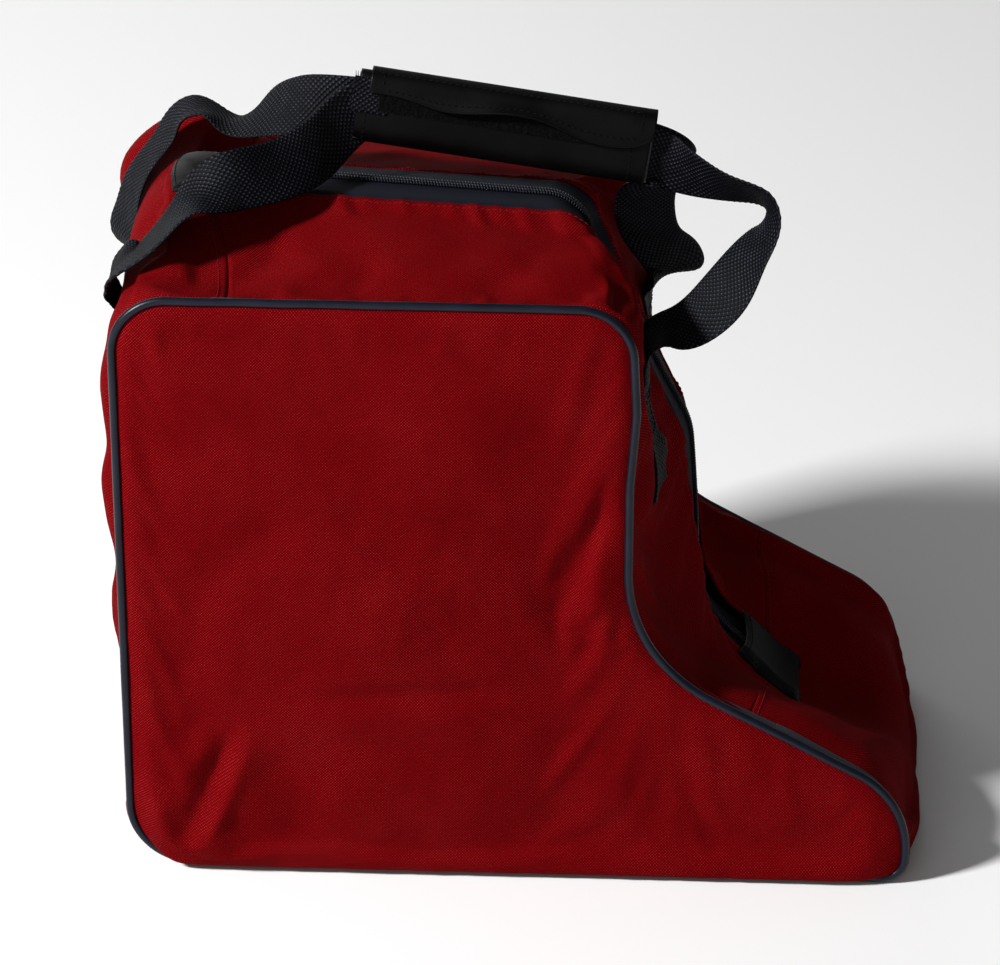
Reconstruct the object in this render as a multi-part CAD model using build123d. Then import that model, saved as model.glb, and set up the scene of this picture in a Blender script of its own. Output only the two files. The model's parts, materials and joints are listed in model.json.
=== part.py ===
from build123d import *
import os

# An L-shaped boot and skate bag: two side panels with piped seams, a gusset all round that is
# split by a coil zipper, and two webbing handles joined by a wrapped grip.
# Millimetres. +X towards the toe, -Y the near side, +Z up. Origin: middle of the base underside.

# driving dimensions
BACK_X = -200.0            # seam line at the back
TOE_X = 199.0              # seam line at the toe
TOP_Z = 318.0              # seam line along the top
SHAFT_X = 55.0             # seam line at the front of the shaft
THROAT_Z = 127.0           # where shaft front and instep slope would meet
TOE_TOP_Z = 49.0           # where instep slope and toe front would meet
FABRIC = 1.6               # padded fabric wall
PANEL_Y = 110.0            # plane of a side panel and of its piping
PIPING_R = 2.2
SEAM_Y = PANEL_Y - PIPING_R
PIPING_LIFT = 2.4          # piping centre above the ground along the base
MID_Y = 53.0               # plane of the outline half way in from the seam
BINDING_WIDTH = 7.0
BINDING = 1.2

# ends of the base piece, and the board that lies on it
BASE_BACK_X = -160.0
BASE_FRONT_X = 180.0
BASE_TOP_Z = 20.0
BOARD = 2.5
BOARD_Y = 98.0
BOARD_BACK_X = -158.0
BOARD_FRONT_X = 182.0
BOARD_CORNER_R = 20.0

# zipper
BAND_Y = 20.0              # half width of the zip tape pair
COIL_Y = 3.2               # outer side of a coil half
COIL_GAP_Y = 0.6           # inner side of a coil half
TAPE_TOP = 0.4             # depth of the tape's face below the gusset's skin
TAPE = 1.0
COIL_PROUD = 0.9
ZIP_BACK_X = -160.0
ZIP_TOE_X = 131.0
PATCH = 1.2
PATCH_Y = 25.0
TOE_PATCH_LENGTH = 34.0
TOE_PATCH_SHIFT = 6.0      # from the zip's end towards the toe
BACK_PATCH_X = (-178.0, -151.0)

# straps and grip
WEB_WIDTH = 30.0
WEB = 2.0
STRAP_Y = 50.0
FRONT_TAIL = (197.0, 279.0)
BACK_TAIL = (215.0, 295.0)
THREAD = 0.5
STITCH_INSET = 4.0
BOX_STITCH = 32.0
BOX_STITCH_DROP = 38.0     # from a sewn end's top to the bottom of its box stitch
GRIP_BACK = Vector(-87, 0, 380)
GRIP_FRONT = Vector(61, 0, 358.5)
GRIP_LENGTH = (GRIP_FRONT - GRIP_BACK).length
WRAP = 1.5
WRAP_Y = 6.0
WRAP_Z = 18.0
STRIP = 0.9
STRIP_HALF = 66.0          # half length of the hook and loop strips
LOOP_STRIP_Z = (1.0, 13.0)
FLAP_LOW_Z = 4.0           # the flap's loose edge
FLAP_CLEAR = 0.3

BIG = 1000.0

# Side-view outlines (x, z) with their corner radii, in the same order: base back, top back,
# top front, upper shaft, lower shaft, throat, instep, toe top, toe bottom.
SEAM_CORNERS = [
    (BACK_X, 0),
    (BACK_X, TOP_Z),
    (SHAFT_X, TOP_Z),
    (SHAFT_X + 3, 262),
    (SHAFT_X, 222),
    (SHAFT_X, THROAT_Z),
    (140, 84),
    (TOE_X, TOE_TOP_Z),
    (TOE_X, 0),
]
SEAM_RADII = [32, 28, 28, 20, 20, 80, 90, 50, 12]
PIPING_CORNERS = [(x, max(z, PIPING_LIFT)) for x, z in SEAM_CORNERS]
MID_CORNERS = [
    (-206, 0),
    (-206, 332),
    (52, 330),
    (62, 275),
    (62, 240),
    (79, 112),
    (140, 80),
    (207, 50),
    (207, 0),
]
MID_RADII = [36, 36, 30, 20, 30, 60, 90, 48, 13]
CROWN_CORNERS = [
    (-209, 0),
    (-208, 345),
    (28, 333),
    (56, 268),
    (83, 212),
    (98, 106),
    (140, 60),
    (209, 38),
    (209, 0),
]
CROWN_RADII = [40, 42, 26, 60, 60, 55, 60, 32, 13]


def outline(y, corners, radii, depth=0.0):
    """L-shaped face in the plane at y, inset by depth (a negative depth grows it)."""
    loop = FilletPolyline(*corners, radius=radii, close=True)
    face = make_face(loop)
    if depth:
        face = offset(face, amount=-depth)
    return Plane(origin=(0, y, 0), x_dir=(1, 0, 0), z_dir=(0, -1, 0)) * face


def bag_form(depth):
    """Solid of the whole bag whose surface lies this deep inside the skin."""
    seam = outline(-SEAM_Y, SEAM_CORNERS, SEAM_RADII, depth)
    mid = outline(-MID_Y, MID_CORNERS, MID_RADII, depth)
    crown = outline(-BAND_Y, CROWN_CORNERS, CROWN_RADII, depth)
    side = loft([seam.face(), mid.face()], ruled=True)
    side += loft([mid.face(), crown.face()], ruled=True)
    band = extrude(crown, amount=2 * BAND_Y, dir=(0, 1, 0))
    return side + band + mirror(side, about=Plane.XZ)


def band_skin(top, bottom, y_low, y_high):
    """Strip along the crown between two depths and two y planes."""
    ring = outline(y_low, CROWN_CORNERS, CROWN_RADII, top)
    ring -= outline(y_low, CROWN_CORNERS, CROWN_RADII, bottom)
    return extrude(ring, amount=y_high - y_low, dir=(0, 1, 0))


def slab(x_low, x_high, y_low, y_high, z_low, z_high):
    """Axis-aligned box from its limits."""
    box = Box(x_high - x_low, y_high - y_low, z_high - z_low)
    return Pos((x_low + x_high) / 2, (y_low + y_high) / 2, (z_low + z_high) / 2) * box


def side_view_region(*points):
    """Polygon in the side view, run right through the bag."""
    face = Plane.XZ * make_face(Polyline(*points, close=True))
    return extrude(face, amount=BIG / 2, both=True)


def save(name, shape):
    """Write one node."""
    export_step(shape, f"parts/{name}.step")


os.makedirs("parts", exist_ok=True)

skin = bag_form(0)
wall = skin - bag_form(FABRIC)

# The instep slope's own frame: along the slope towards the toe, and square to it.
slope_run = Vector(TOE_X - SHAFT_X, 0, TOE_TOP_Z - THROAT_Z)
slope_along = slope_run.normalized()
slope_out = Vector(-slope_along.Z, 0, slope_along.X)
zip_toe = Vector(SHAFT_X, 0, THROAT_Z) + slope_along * ((ZIP_TOE_X - SHAFT_X) / slope_along.X)
cut_out = zip_toe + slope_out * 60
cut_in = zip_toe - slope_out * 40

# regions that split the gusset into its sewn pieces; their far corners only clear the bag
ABOVE_Z = 420.0
AHEAD_X = 300.0
UNDER_Z = -50.0
INSIDE_X = 35.0
INSIDE_TOP_Z = 260.0
INSIDE_THROAT_Z = 150.0
base_region = slab(BASE_BACK_X, BASE_FRONT_X, -BIG, BIG, -BIG, BASE_TOP_Z)
back_region = slab(-BIG, BASE_BACK_X, -BIG, BIG, -BIG, BIG)
toe_region = side_view_region(
    (BASE_FRONT_X, UNDER_Z),
    (AHEAD_X, UNDER_Z),
    (AHEAD_X, cut_out.Z),
    (cut_out.X, cut_out.Z),
    (cut_in.X, cut_in.Z),
    (BASE_FRONT_X, BASE_TOP_Z),
)
zip_region = side_view_region(
    (ZIP_BACK_X, INSIDE_TOP_Z),
    (ZIP_BACK_X, ABOVE_Z),
    (cut_out.X, ABOVE_Z),
    (cut_out.X, cut_out.Z),
    (cut_in.X, cut_in.Z),
    (INSIDE_X, INSIDE_THROAT_Z),
    (INSIDE_X, INSIDE_TOP_Z),
)

save("base_panel", wall & base_region)
save("back_gusset", wall & back_region)
save("toe_gusset", wall & toe_region)
zip_wall = wall & zip_region
near_wall = zip_wall & slab(-BIG, BIG, -BIG, -BAND_Y, -BIG, BIG)
save("zip_gusset_near", near_wall)
save("zip_gusset_far", mirror(near_wall, about=Plane.XZ))

# side panels, piping and the binding that covers the seam allowance inside
panel_face = outline(-PANEL_Y + FABRIC / 2, PIPING_CORNERS, SEAM_RADII, PIPING_R)
side_panel = extrude(panel_face, amount=FABRIC, dir=(0, -1, 0))
piping_path = outline(-PANEL_Y, PIPING_CORNERS, SEAM_RADII).face().outer_wire()
bead_start = Plane(origin=piping_path @ 0, z_dir=piping_path % 0)
piping = sweep(bead_start * Circle(PIPING_R), path=piping_path)
binding_ring = outline(-SEAM_Y, SEAM_CORNERS, SEAM_RADII, FABRIC)
binding_ring -= outline(-SEAM_Y, SEAM_CORNERS, SEAM_RADII, FABRIC + BINDING)
binding = extrude(binding_ring, amount=BINDING_WIDTH, dir=(0, 1, 0)) - wall - near_wall
for name, shape in (("side_panel", side_panel), ("piping", piping), ("seam_binding", binding)):
    save(f"{name}_near", shape)
    save(f"{name}_far", mirror(shape, about=Plane.XZ))

# stiff board that keeps the base flat
board = slab(BOARD_BACK_X, BOARD_FRONT_X, -BOARD_Y, BOARD_Y, FABRIC, FABRIC + BOARD)
save("base_board", fillet(board.edges().filter_by(Axis.Z), BOARD_CORNER_R))

# zipper: patches over both ends, tapes, coil halves
patch_skin = bag_form(-PATCH) - skin
back_patch_region = slab(*BACK_PATCH_X, -PATCH_Y, PATCH_Y, INSIDE_TOP_Z, ABOVE_Z)
toe_patch_plane = Plane(origin=zip_toe, x_dir=slope_along, z_dir=slope_out)
toe_patch_region = toe_patch_plane * (Pos(TOE_PATCH_SHIFT, 0, 0) * Box(TOE_PATCH_LENGTH, 2 * PATCH_Y, 60))
save("zip_patch_back", patch_skin & back_patch_region)
save("zip_patch_toe", patch_skin & toe_patch_region)
tape = band_skin(TAPE_TOP, TAPE_TOP + TAPE, -BAND_Y, -COIL_Y) & zip_region
coil = band_skin(-COIL_PROUD, TAPE_TOP + TAPE, -COIL_Y, -COIL_GAP_Y) & zip_region
coil = coil - back_patch_region - toe_patch_region
save("zip_tape_near", tape)
save("zip_tape_far", mirror(tape, about=Plane.XZ))
save("zip_coil_near", coil)
save("zip_coil_far", mirror(coil, about=Plane.XZ))

# slider on the straight stretch of the top, in a frame that lies along the zip
SLIDER_X = -130.0
SLIDER_WIDTH = 9.6
SLIDER_LENGTH = 11.0
PLATE = 1.4
SLIDER_CLEAR = 0.25
top_back_x, top_back_z = CROWN_CORNERS[1]
top_front_x, top_front_z = CROWN_CORNERS[2]
top_run = Vector(top_front_x - top_back_x, 0, top_front_z - top_back_z)
top_along = top_run.normalized()
slider_z = top_back_z + (SLIDER_X - top_back_x) * top_run.Z / top_run.X
slider_plane = Plane(
    origin=(SLIDER_X, 0, slider_z),
    x_dir=top_along,
    z_dir=(-top_along.Z, 0, top_along.X),
)
plate_low = COIL_PROUD + SLIDER_CLEAR
plate_top = plate_low + PLATE
under_top = -(TAPE_TOP + TAPE + SLIDER_CLEAR)
half_length = SLIDER_LENGTH / 2
half_width = SLIDER_WIDTH / 2
slider = slab(-half_length, half_length, -half_width, half_width, plate_low, plate_top)
slider += slab(-half_length, half_length, -half_width, half_width, under_top - PLATE, under_top)
slider += slab(-1.5, 1.5, -0.35, 0.35, under_top, plate_low)
for side in (-1, 1):
    flange_y = sorted((side * (COIL_Y + SLIDER_CLEAR), side * half_width))
    slider += slab(-half_length, half_length, *flange_y, SLIDER_CLEAR - TAPE_TOP, plate_low)
BRIDGE_WIDTH = 2.4
BRIDGE_RISE = 4.4
bridge = slab(-4.5, 4.5, -BRIDGE_WIDTH / 2, BRIDGE_WIDTH / 2, plate_top, plate_top + BRIDGE_RISE)
bridge -= slab(-3.0, 3.0, -BRIDGE_WIDTH, BRIDGE_WIDTH, plate_top, plate_top + BRIDGE_RISE - 1.2)
slider += bridge
save("zip_slider", slider_plane * slider)

# pull: a bar through the bridge, two arms and a tab that lies towards the back
PULL_LENGTH = 22.0
PULL_BAR_R = 0.8
PULL_HALF_WIDTH = 4.0
ARM_Y = (2.0, 3.4)
pull_z = plate_top + 1.8
pull = Pos(0, 0, pull_z) * Rot(90, 0, 0) * Cylinder(PULL_BAR_R, 2 * ARM_Y[1])
for side in (-1, 1):
    arm_y = sorted((side * ARM_Y[0], side * ARM_Y[1]))
    pull += slab(-8, PULL_BAR_R, *arm_y, pull_z - PULL_BAR_R, pull_z + PULL_BAR_R)
tab = slab(-PULL_LENGTH, -7, -PULL_HALF_WIDTH, PULL_HALF_WIDTH, pull_z - 0.8, pull_z + 0.8)
pull += fillet(tab.edges().filter_by(Axis.Z).group_by(Axis.X)[0], 2.5)
save("zip_pull", slider_plane * pull)

# sewn strap ends on the shaft front and on the back
web_skin = bag_form(-WEB) - skin
edge_in = STRAP_Y - WEB_WIDTH / 2
edge_out = STRAP_Y + WEB_WIDTH / 2
front_tail = web_skin & slab(0, BIG, -edge_out, -edge_in, *FRONT_TAIL)
back_tail = web_skin & slab(-BIG, 0, -edge_out, -edge_in, *BACK_TAIL)
save("strap_near_front_end", front_tail)
save("strap_near_back_end", back_tail)
save("strap_far_front_end", mirror(front_tail, about=Plane.XZ))
save("strap_far_back_end", mirror(back_tail, about=Plane.XZ))

# box stitching on each sewn end: a rectangle of thread that lies on the webbing
thread_skin = bag_form(-WEB - THREAD) - bag_form(-WEB)


def box_stitch(z_low, front):
    """Thread rectangle on the near strap's sewn end."""
    x_range = (0, BIG) if front else (-BIG, 0)
    y_low = -edge_out + STITCH_INSET
    y_high = -edge_in - STITCH_INSET
    outer = slab(*x_range, y_low, y_high, z_low, z_low + BOX_STITCH)
    hole = slab(-BIG, BIG, y_low + 1, y_high - 1, z_low + 1, z_low + BOX_STITCH - 1)
    return thread_skin & (outer - hole)


boxes = []
for tail_top, front in ((FRONT_TAIL[1], True), (BACK_TAIL[1], False)):
    near_box = box_stitch(tail_top - BOX_STITCH_DROP, front)
    for stitch in (near_box, mirror(near_box, about=Plane.XZ)):
        boxes.extend(stitch.solids())
save("strap_stitching", Compound(children=boxes))


# free strap runs between the sewn ends and the grip: ribbons that turn on edge
grip_along = (GRIP_FRONT - GRIP_BACK).normalized()
grip_up = Vector(-grip_along.Z, 0, grip_along.X)
grip_plane = Plane(origin=(GRIP_BACK + GRIP_FRONT) * 0.5, x_dir=grip_along, z_dir=grip_up)
RUN_Y = 1.2
END_GAP = 0.2
FRONT_STAND = 2.6          # room over the gusset's ridge between the webbing's edges
BACK_STAND = 1.6


def surface_x(y, z, front):
    """X of the bag's skin on its front or back at this height."""
    hits = skin.find_intersection_points(Axis((-BIG, y, z), (1, 0, 0)))
    xs = sorted(point.X for point, _ in hits)
    return xs[-1] if front else xs[0]


def ribbon(start, loop, end):
    """Flat webbing lofted from a sewn end through a loop of stations to the grip."""
    stations = [start] + [(Vector(*centre), Vector(*width)) for centre, width in loop] + [end]
    sections = []
    last = len(stations) - 1
    for i, (centre, width) in enumerate(stations):
        if i == 0:
            along = Vector(0, 0, 1)
        elif i == last:
            along = grip_along
        else:
            along = (stations[i + 1][0] - stations[i - 1][0]).normalized()
        across = (width - along * width.dot(along)).normalized()
        plane = Plane(origin=centre, x_dir=across, z_dir=along)
        sections.append((plane * Rectangle(WEB_WIDTH, WEB)).face())
    return loft(sections, ruled=True)


def sewn_station(z, front, side):
    """Station that meets the top of a sewn end, on the near (-1) or far (1) side."""
    x_in = surface_x(side * edge_in, z, front)
    x_out = surface_x(side * edge_out, z, front)
    stand = WEB / 2 + FRONT_STAND if front else -WEB / 2 - BACK_STAND
    centre = Vector((x_in + x_out) / 2 + stand, side * STRAP_Y, z + END_GAP)
    return centre, Vector(x_out - x_in, side * WEB_WIDTH, 0)


# stations: the middle of the webbing and the direction of its width
near_front_loop = [
    ((83, -50, 287), (0.3, -0.85, -0.42)),
    ((101, -47, 303), (0.48, -0.74, -0.46)),
    ((120, -36, 332), (0.3, -0.9, 0.2)),
    ((110, -22, 346), (0, -0.78, 0.62)),
    ((87, -10, 348), (-0.05, -0.45, 0.89)),
]
far_front_loop = [
    ((74, 46, 288), (0.6, 0.75, -0.2)),
    ((71, 38, 299), (0.85, 0.4, -0.1)),
    ((66, 26, 318), (0.95, 0.2, 0)),
    ((66, 12, 337), (0.8, 0.2, 0.5)),
]
near_back_loop = [
    ((-209.5, -56, 311), (0.05, -1, 0.05)),
    ((-193, -67, 333), (0.2, -0.95, 0.1)),
    ((-168, -57, 349), (0.12, -0.96, -0.2)),
    ((-150, -48, 356), (0.28, -0.6, -0.72)),
    ((-130, -37, 358), (0.5, -0.35, -0.8)),
    ((-108, -17, 363), (0.38, -0.22, -0.88)),
]
far_back_loop = [
    ((-210, 49, 312), (-0.1, 1, 0)),
    ((-203, 47, 332), (-0.2, 1, 0)),
    ((-187, 45, 350), (-0.2, 0.97, 0)),
    ((-168, 39, 361), (0, 1, 0)),
    ((-148, 28, 363), (0.1, 0.97, 0.1)),
    ((-128, 15, 371), (0.15, 0.7, 0.65)),
    ((-107, 6, 378), (0, 0.25, 0.97)),
]
free_runs = (
    ("near_front", -1, near_front_loop, grip_up),
    ("far_front", 1, far_front_loop, grip_up),
    ("near_back", -1, near_back_loop, -grip_up),
    ("far_back", 1, far_back_loop, grip_up),
)
for name, side, loop, grip_width in free_runs:
    front = name.endswith("front")
    if front:
        grip_end = GRIP_FRONT + grip_along * END_GAP
    else:
        grip_end = GRIP_BACK - grip_along * END_GAP
    start = sewn_station(FRONT_TAIL[1] if front else BACK_TAIL[1], front, side)
    end = (grip_end + Vector(0, side * RUN_Y, 0), grip_width)
    save(f"strap_{name}_run", ribbon(start, loop, end))

# grip: both straps on edge inside foam and a wrap that a hook-and-loop flap closes
half_grip = GRIP_LENGTH / 2
held_run = slab(-half_grip, half_grip, -RUN_Y - WEB / 2, -RUN_Y + WEB / 2, -WEB_WIDTH / 2, WEB_WIDTH / 2)
held_run = grip_plane * held_run
save("strap_near_held_run", held_run)
save("strap_far_held_run", mirror(held_run, about=Plane.XZ))

core_y = RUN_Y + WEB / 2
core_z = WEB_WIDTH / 2
foam_y = WRAP_Y - WRAP
foam_z = WRAP_Z - WRAP
core = Box(GRIP_LENGTH, 2 * core_y, 2 * core_z)
foam = Box(GRIP_LENGTH, 2 * foam_y, 2 * foam_z)
wrap = Box(GRIP_LENGTH, 2 * WRAP_Y, 2 * WRAP_Z)
save("grip_foam", grip_plane * (foam - core))
save("grip_wrap", grip_plane * (wrap - foam))

loop_out = -WRAP_Y - STRIP
hook_in = loop_out - FLAP_CLEAR
hook_out = hook_in - STRIP
flap_out = hook_out - WRAP
loop_low, loop_high = LOOP_STRIP_Z
hook_low = FLAP_LOW_Z + 1
save("grip_loop_strip", grip_plane * slab(-STRIP_HALF, STRIP_HALF, loop_out, -WRAP_Y, loop_low, loop_high))
save("grip_hook_strip", grip_plane * slab(-STRIP_HALF, STRIP_HALF, hook_out, hook_in, hook_low, loop_high))
flap = slab(-half_grip, half_grip, flap_out, hook_out, FLAP_LOW_Z, WRAP_Z)
flap += slab(-half_grip, half_grip, hook_out, -WRAP_Y - FLAP_CLEAR, WRAP_Z - WRAP, WRAP_Z)
save("grip_flap", grip_plane * flap)
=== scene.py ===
import json
import math

import bpy
import numpy as np
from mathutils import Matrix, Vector
from mathutils.geometry import delaunay_2d_cdt

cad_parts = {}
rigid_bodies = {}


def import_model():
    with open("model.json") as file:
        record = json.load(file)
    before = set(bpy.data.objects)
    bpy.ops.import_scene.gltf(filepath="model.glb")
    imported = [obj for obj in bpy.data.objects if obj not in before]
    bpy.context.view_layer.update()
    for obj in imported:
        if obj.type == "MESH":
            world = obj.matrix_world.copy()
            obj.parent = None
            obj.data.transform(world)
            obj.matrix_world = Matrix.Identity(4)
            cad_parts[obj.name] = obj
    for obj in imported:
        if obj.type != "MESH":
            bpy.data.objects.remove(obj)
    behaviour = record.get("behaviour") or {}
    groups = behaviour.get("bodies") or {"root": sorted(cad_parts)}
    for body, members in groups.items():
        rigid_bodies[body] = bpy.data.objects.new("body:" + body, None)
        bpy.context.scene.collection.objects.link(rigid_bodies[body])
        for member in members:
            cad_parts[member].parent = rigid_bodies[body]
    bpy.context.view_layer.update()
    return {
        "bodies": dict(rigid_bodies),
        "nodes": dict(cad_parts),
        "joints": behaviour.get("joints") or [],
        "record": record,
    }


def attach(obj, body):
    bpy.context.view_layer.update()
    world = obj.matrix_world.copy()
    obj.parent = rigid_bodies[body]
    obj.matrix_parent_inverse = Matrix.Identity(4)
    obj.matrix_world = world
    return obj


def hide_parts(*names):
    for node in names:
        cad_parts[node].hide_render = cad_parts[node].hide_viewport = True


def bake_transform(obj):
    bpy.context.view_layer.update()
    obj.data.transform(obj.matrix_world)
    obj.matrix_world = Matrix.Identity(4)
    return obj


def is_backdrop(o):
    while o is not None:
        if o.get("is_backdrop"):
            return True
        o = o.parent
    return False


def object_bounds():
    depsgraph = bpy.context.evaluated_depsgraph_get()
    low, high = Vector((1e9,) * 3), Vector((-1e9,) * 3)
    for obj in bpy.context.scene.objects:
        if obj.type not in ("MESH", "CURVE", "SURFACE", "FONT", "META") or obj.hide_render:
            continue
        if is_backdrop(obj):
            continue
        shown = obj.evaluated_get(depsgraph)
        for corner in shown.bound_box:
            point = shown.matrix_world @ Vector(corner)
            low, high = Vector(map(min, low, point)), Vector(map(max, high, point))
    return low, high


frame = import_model()

MM = 0.001

# ---------------------------------------------------------------- the bag's form, in millimetres
# Corners (x, z) and fillet radii of the outline at the seams, half way in and at the zip.
PANEL_Y = 110.0
SEAM_Y = 109.0
MID_Y = 53.0
BAND_Y = 20.0
PIPING_R = 2.2
PIPING_LIFT = 2.4

SEAM = [(-200, 0), (-200, 318), (55, 318), (58, 262), (55, 222), (55, 127), (140, 81), (199, 49), (199, 0)]
SEAM_R = [32, 28, 28, 20, 20, 80, 90, 50, 12]
MID = [(-206, 0), (-206, 332), (52, 330), (62, 275), (62, 240), (79, 112), (140, 80), (207, 50), (207, 0)]
MID_R = [36, 36, 30, 20, 30, 60, 90, 48, 13]
CROWN = [(-209, 0), (-208, 345), (28, 333), (56, 268), (81, 212), (95, 106), (140, 60), (209, 38), (209, 0)]
CROWN_R = [40, 42, 26, 60, 60, 55, 60, 32, 13]
STRETCH_POINTS = [124, 112, 74, 30, 40, 60, 50, 44, 96]
LEG_SPLIT = [0.5, 0.5, 0.5, 0.5, 0.5, 0.5, 0.5, 0.64, 0.5]   # where one corner's stretch ends on each leg

# Where one sewn piece of the gusset ends and the next starts
ZIP_BACK_X = -160.0
ZIP_TOE_X = 131.0
BASE_BACK_X = -160.0
BASE_FRONT_X = 180.0


def unit(v):
    """Vectors scaled to length one."""
    v = np.asarray(v, float)
    return v / np.maximum(np.linalg.norm(v, axis=-1, keepdims=True), 1e-12)


def bell(value, width):
    """Bump of height one that fades with the distance from zero."""
    return np.exp(-(value / width) ** 2)


def ease(distance, reach):
    """Rise from zero towards one over a distance."""
    return 1 - np.exp(-distance / reach)


def logistic(value, width):
    """Smooth step from zero to one at zero."""
    return 1 / (1 + np.exp(-value / width))


def distances(path):
    """Distance along a path at each of its points."""
    return np.concatenate([[0], np.cumsum(np.linalg.norm(np.diff(path, axis=0), axis=1))])


def interpolate(wanted, at, values):
    """Rows of values at some places, from the rows at others."""
    return np.stack([np.interp(wanted, at, column) for column in np.transpose(values)], -1)


def grid_uv(rows, columns):
    """Pairs of coordinates on a grid."""
    return np.stack(np.meshgrid(rows, columns, indexing="ij"), -1)


def corner_stretch(before, corner, after, splits, radius, count):
    """Points from a place on one leg, round a filleted corner, to a place on the next."""
    before, corner, after = (np.asarray(p, float) for p in (before, corner, after))
    into = unit(corner - before)
    out = unit(after - corner)
    turn = math.atan2(into[0] * out[1] - into[1] * out[0], into @ out)
    reach = radius * math.tan(abs(turn) / 2)
    points = [before + (corner - before) * splits[0], corner - into * reach]
    if abs(turn) > 0.01:
        square = np.array([-into[1], into[0]]) * math.copysign(1, turn)
        centre = corner - into * reach + square * radius
        spoke = -square * radius
        for angle in np.linspace(0, turn, 25)[1:]:
            c, s = math.cos(angle), math.sin(angle)
            points.append(centre + np.array([c * spoke[0] - s * spoke[1], s * spoke[0] + c * spoke[1]]))
    points.append(corner + (after - corner) * splits[1])
    along = distances(points)
    return interpolate(np.linspace(0, along[-1], count, endpoint=False), along, points)


def ring(corners, radii):
    """Closed outline, one stretch of points per corner."""
    parts = []
    for k, corner in enumerate(corners):
        after = corners[(k + 1) % len(corners)]
        splits = (LEG_SPLIT[k - 1], LEG_SPLIT[k])
        parts.append(corner_stretch(corners[k - 1], corner, after, splits, radii[k], STRETCH_POINTS[k]))
    return np.concatenate(parts)


def spline_weights(knots, wanted):
    """Rows of weights that interpolate values at knots with a natural cubic spline."""
    knots = np.asarray(knots, float)
    n = len(knots)
    h = np.diff(knots)
    system = np.eye(n)
    right = np.zeros((n, n))
    for i in range(1, n - 1):
        system[i, i - 1] = h[i - 1]
        system[i, i] = 2 * (h[i - 1] + h[i])
        system[i, i + 1] = h[i]
        right[i, i - 1] = 6 / h[i - 1]
        right[i, i] = -6 / h[i - 1] - 6 / h[i]
        right[i, i + 1] = 6 / h[i]
    second = np.linalg.solve(system, right)
    rows = []
    for y in wanted:
        i = int(np.clip(np.searchsorted(knots, y) - 1, 0, n - 2))
        a = (knots[i + 1] - y) / h[i]
        b = (y - knots[i]) / h[i]
        row = np.zeros(n)
        row[i] = a
        row[i + 1] = b
        row += ((a ** 3 - a) * second[i] + (b ** 3 - b) * second[i + 1]) * h[i] ** 2 / 6
        rows.append(row)
    return np.array(rows)


def ripple(points, wavelength, seed, waves=14):
    """Smooth repeatable noise about -1 to 1: a sum of plane waves."""
    rng = np.random.default_rng(seed)
    total = np.zeros(points.shape[:-1])
    for _ in range(waves):
        direction = unit(rng.normal(size=3))
        length = wavelength * rng.uniform(0.7, 1.6)
        total += np.sin(points @ direction * 2 * math.pi / length + rng.uniform(0, 2 * math.pi))
    return total / math.sqrt(waves)


def fold_height(points, folds):
    """Summed height of soft folds along lines; each fades out at its ends."""
    total = np.zeros(points.shape[:-1])
    for start, end, depth, width in folds:
        start, end = np.asarray(start, float), np.asarray(end, float)
        line = end - start
        along = np.clip(((points - start) @ line) / (line @ line), -0.3, 1.3)
        gap = np.linalg.norm(points - (start + along[..., None] * line), axis=-1)
        fade = bell(np.clip(np.abs(along - 0.5) - 0.25, 0, None), 0.2)
        total += depth * fade * bell(gap, width)
    return total


# ---------------------------------------------------------------- materials
def calc(tree, operation, *values):
    """Math node on sockets or numbers; returns its output."""
    new = tree.nodes.new("ShaderNodeMath")
    new.operation = operation
    for socket, value in zip(new.inputs, values):
        if isinstance(value, (int, float)):
            socket.default_value = value
        else:
            tree.links.new(value, socket)
    return new.outputs[0]


def start_material(name, **sockets):
    """Principled material; its sockets are set by name, with underscores for spaces."""
    material = bpy.data.materials.new(name)
    material.use_nodes = True
    tree = material.node_tree
    shader = tree.nodes["Principled BSDF"]
    for key, value in sockets.items():
        shader.inputs[key.replace("_", " ")].default_value = value
    return material, tree, shader


def add_colour(tree, shader, value, stops):
    """Base colour from (position, colour) stops along a value."""
    ramp = tree.nodes.new("ShaderNodeValToRGB")
    elements = ramp.color_ramp.elements
    while len(elements) < len(stops):
        elements.new(0.5)
    for element, (position, colour) in zip(elements, stops):
        element.position = position
        element.color = (*colour, 1)
    tree.links.new(value, ramp.inputs[0])
    tree.links.new(ramp.outputs[0], shader.inputs["Base Color"])


def add_bump(tree, shader, height, strength, distance):
    """Bump the shader from a height, on top of any bump it already has."""
    bump = tree.nodes.new("ShaderNodeBump")
    bump.inputs["Strength"].default_value = strength
    bump.inputs["Distance"].default_value = distance
    tree.links.new(height, bump.inputs["Height"])
    if shader.inputs["Normal"].links:
        tree.links.new(shader.inputs["Normal"].links[0].from_socket, bump.inputs["Normal"])
    tree.links.new(bump.outputs[0], shader.inputs["Normal"])


def noise(tree, vector, scale, detail=3.0, roughness=0.55):
    """Noise value from a vector."""
    new = tree.nodes.new("ShaderNodeTexNoise")
    new.inputs["Scale"].default_value = scale
    new.inputs["Detail"].default_value = detail
    new.inputs["Roughness"].default_value = roughness
    tree.links.new(vector, new.inputs["Vector"])
    return new.outputs[0]


def cloth_coordinates(tree):
    """The cloth's own coordinates in millimetres: as a vector, along and across."""
    texture = tree.nodes.new("ShaderNodeUVMap")
    texture.uv_map = "millimetres"
    split = tree.nodes.new("ShaderNodeSeparateXYZ")
    tree.links.new(texture.outputs[0], split.inputs[0])
    return texture.outputs[0], split.outputs[0], split.outputs[1]


def wave(tree, value, pitch):
    """Sine wave of a pitch along a value."""
    return calc(tree, "SINE", calc(tree, "MULTIPLY", value, 2 * math.pi / pitch))


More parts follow.
